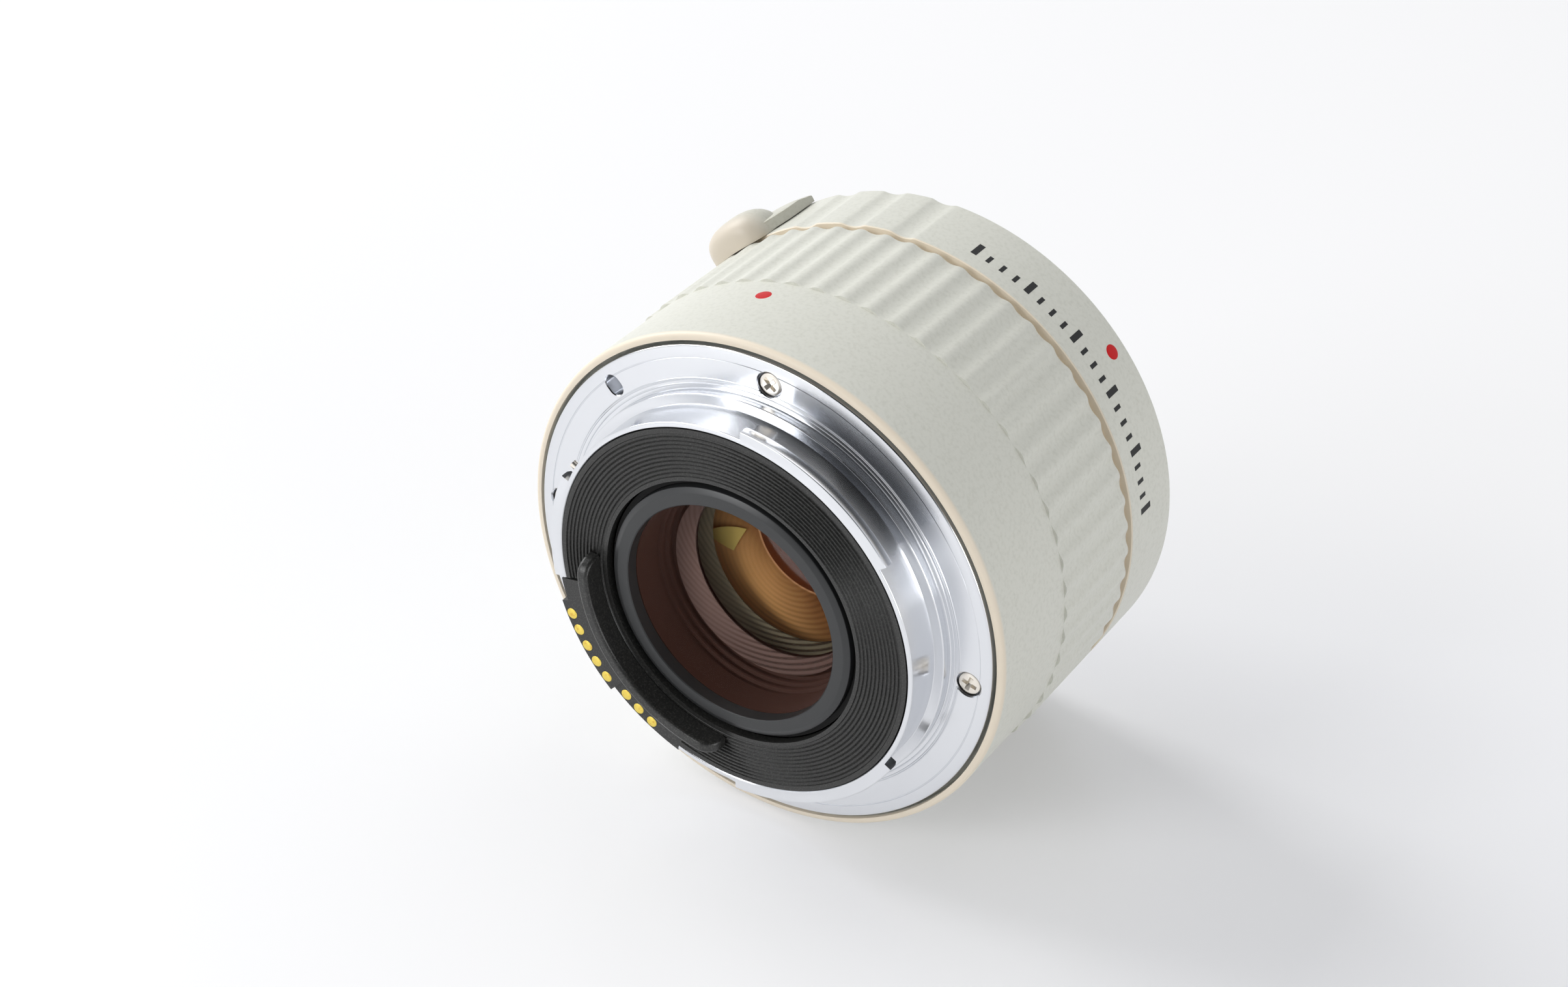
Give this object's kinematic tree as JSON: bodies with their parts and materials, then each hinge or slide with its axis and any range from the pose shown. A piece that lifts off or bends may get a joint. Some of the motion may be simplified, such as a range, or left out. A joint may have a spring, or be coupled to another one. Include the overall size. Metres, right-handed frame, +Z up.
{
  "type": "camera teleconverter",
  "caption": "Short ribbed barrel with a bayonet mount at each end, a glass cell inside, sprung contact pins and a sliding lens release lever.",
  "frame": {"origin": "on the optical axis, in the plane of the camera-side seat", "axes": "+Y along the optical axis from the camera side to the lens side, +Z up with the barrel lying on its side, +X to the right of someone who looks at the camera side"},
  "size_m": [0.0686, 0.0528, 0.0686],
  "materials": {
    "shell": "satin paint on moulded shells",
    "mount_chrome": "turned and chromed brass",
    "bright_steel": "nickel plated",
    "spring_steel": "plain",
    "shim_brass": "plain",
    "black_plastic": "fine matt grain",
    "gold_contact": "gold flashed",
    "frame_metal": "turned",
    "black_metal": "black anodised",
    "grey_metal": "dark anodised",
    "lens_glass": "polished, amber coated",
    "red_mark": "gloss",
    "board": "solder resist",
    "chip": "moulded",
    "flex": "polyimide film"
  },
  "bodies": {
    "body": {"main_barrel": "shell", "front_barrel": "shell", "rear_mount_ring": "mount_chrome", "front_mount_ring": "mount_chrome", "bayonet_stop_pin": "bright_steel", "rear_mount_screws": "bright_steel", "front_mount_screws": "bright_steel", "lens_cell_screws": "bright_steel", "control_screws": "bright_steel", "mount_leaf_springs": "spring_steel", "lock_spring": "spring_steel", "contact_spring_1": "spring_steel", "contact_spring_2": "spring_steel", "contact_spring_3": "spring_steel", "contact_spring_4": "spring_steel", "contact_spring_5": "spring_steel", "contact_spring_6": "spring_steel", "contact_spring_7": "spring_steel", "contact_spring_8": "spring_steel", "rear_mount_shim": "shim_brass", "front_mount_shim": "shim_brass", "rear_baffle": "black_plastic", "rear_contact_block": "black_plastic", "front_baffle": "black_plastic", "front_contact_block": "black_plastic", "rear_contact_pads": "gold_contact", "inner_frame": "frame_metal", "lens_cell": "black_metal", "rear_spacer": "black_metal", "front_spacer": "black_metal", "front_retaining_ring": "black_metal", "rear_retaining_ring": "grey_metal", "rear_element": "lens_glass", "middle_element": "lens_glass", "doublet_rear_element": "lens_glass", "doublet_front_element": "lens_glass", "front_element": "lens_glass", "rear_index_mark": "red_mark", "front_index_mark": "red_mark", "control_board": "board", "pin_board": "board", "control_chip": "chip", "flex_circuit": "flex"},
    "release": {"release_lever": "shell", "lock_pin": "bright_steel", "lock_carrier": "bright_steel", "lever_screws": "bright_steel"},
    "contact_pin_1": {"contact_pin_1": "gold_contact"},
    "contact_pin_2": {"contact_pin_2": "gold_contact"},
    "contact_pin_3": {"contact_pin_3": "gold_contact"},
    "contact_pin_4": {"contact_pin_4": "gold_contact"},
    "contact_pin_5": {"contact_pin_5": "gold_contact"},
    "contact_pin_6": {"contact_pin_6": "gold_contact"},
    "contact_pin_7": {"contact_pin_7": "gold_contact"},
    "contact_pin_8": {"contact_pin_8": "gold_contact"}
  },
  "joints": [
    {"name": "release_slide", "type": "slide", "parent": "body", "child": "release", "axis": [0, 1, 0], "range_m": [-0.002, 0], "stiffness_N_per_m": 900, "springref_m": 0.002, "deforming": ["lock_spring"]},
    {"name": "pin_1_press", "type": "slide", "parent": "body", "child": "contact_pin_1", "axis": [0, 1, 0], "range_m": [-0.001, 0], "stiffness_N_per_m": 300, "springref_m": 0.0006, "deforming": ["contact_spring_1"]},
    {"name": "pin_2_press", "type": "slide", "parent": "body", "child": "contact_pin_2", "axis": [0, 1, 0], "range_m": [-0.001, 0], "stiffness_N_per_m": 300, "springref_m": 0.0006, "deforming": ["contact_spring_2"]},
    {"name": "pin_3_press", "type": "slide", "parent": "body", "child": "contact_pin_3", "axis": [0, 1, 0], "range_m": [-0.001, 0], "stiffness_N_per_m": 300, "springref_m": 0.0006, "deforming": ["contact_spring_3"]},
    {"name": "pin_4_press", "type": "slide", "parent": "body", "child": "contact_pin_4", "axis": [0, 1, 0], "range_m": [-0.001, 0], "stiffness_N_per_m": 300, "springref_m": 0.0006, "deforming": ["contact_spring_4"]},
    {"name": "pin_5_press", "type": "slide", "parent": "body", "child": "contact_pin_5", "axis": [0, 1, 0], "range_m": [-0.001, 0], "stiffness_N_per_m": 300, "springref_m": 0.0006, "deforming": ["contact_spring_5"]},
    {"name": "pin_6_press", "type": "slide", "parent": "body", "child": "contact_pin_6", "axis": [0, 1, 0], "range_m": [-0.001, 0], "stiffness_N_per_m": 300, "springref_m": 0.0006, "deforming": ["contact_spring_6"]},
    {"name": "pin_7_press", "type": "slide", "parent": "body", "child": "contact_pin_7", "axis": [0, 1, 0], "range_m": [-0.001, 0], "stiffness_N_per_m": 300, "springref_m": 0.0006, "deforming": ["contact_spring_7"]},
    {"name": "pin_8_press", "type": "slide", "parent": "body", "child": "contact_pin_8", "axis": [0, 1, 0], "range_m": [-0.001, 0], "stiffness_N_per_m": 300, "springref_m": 0.0006, "deforming": ["contact_spring_8"]}
  ]
}
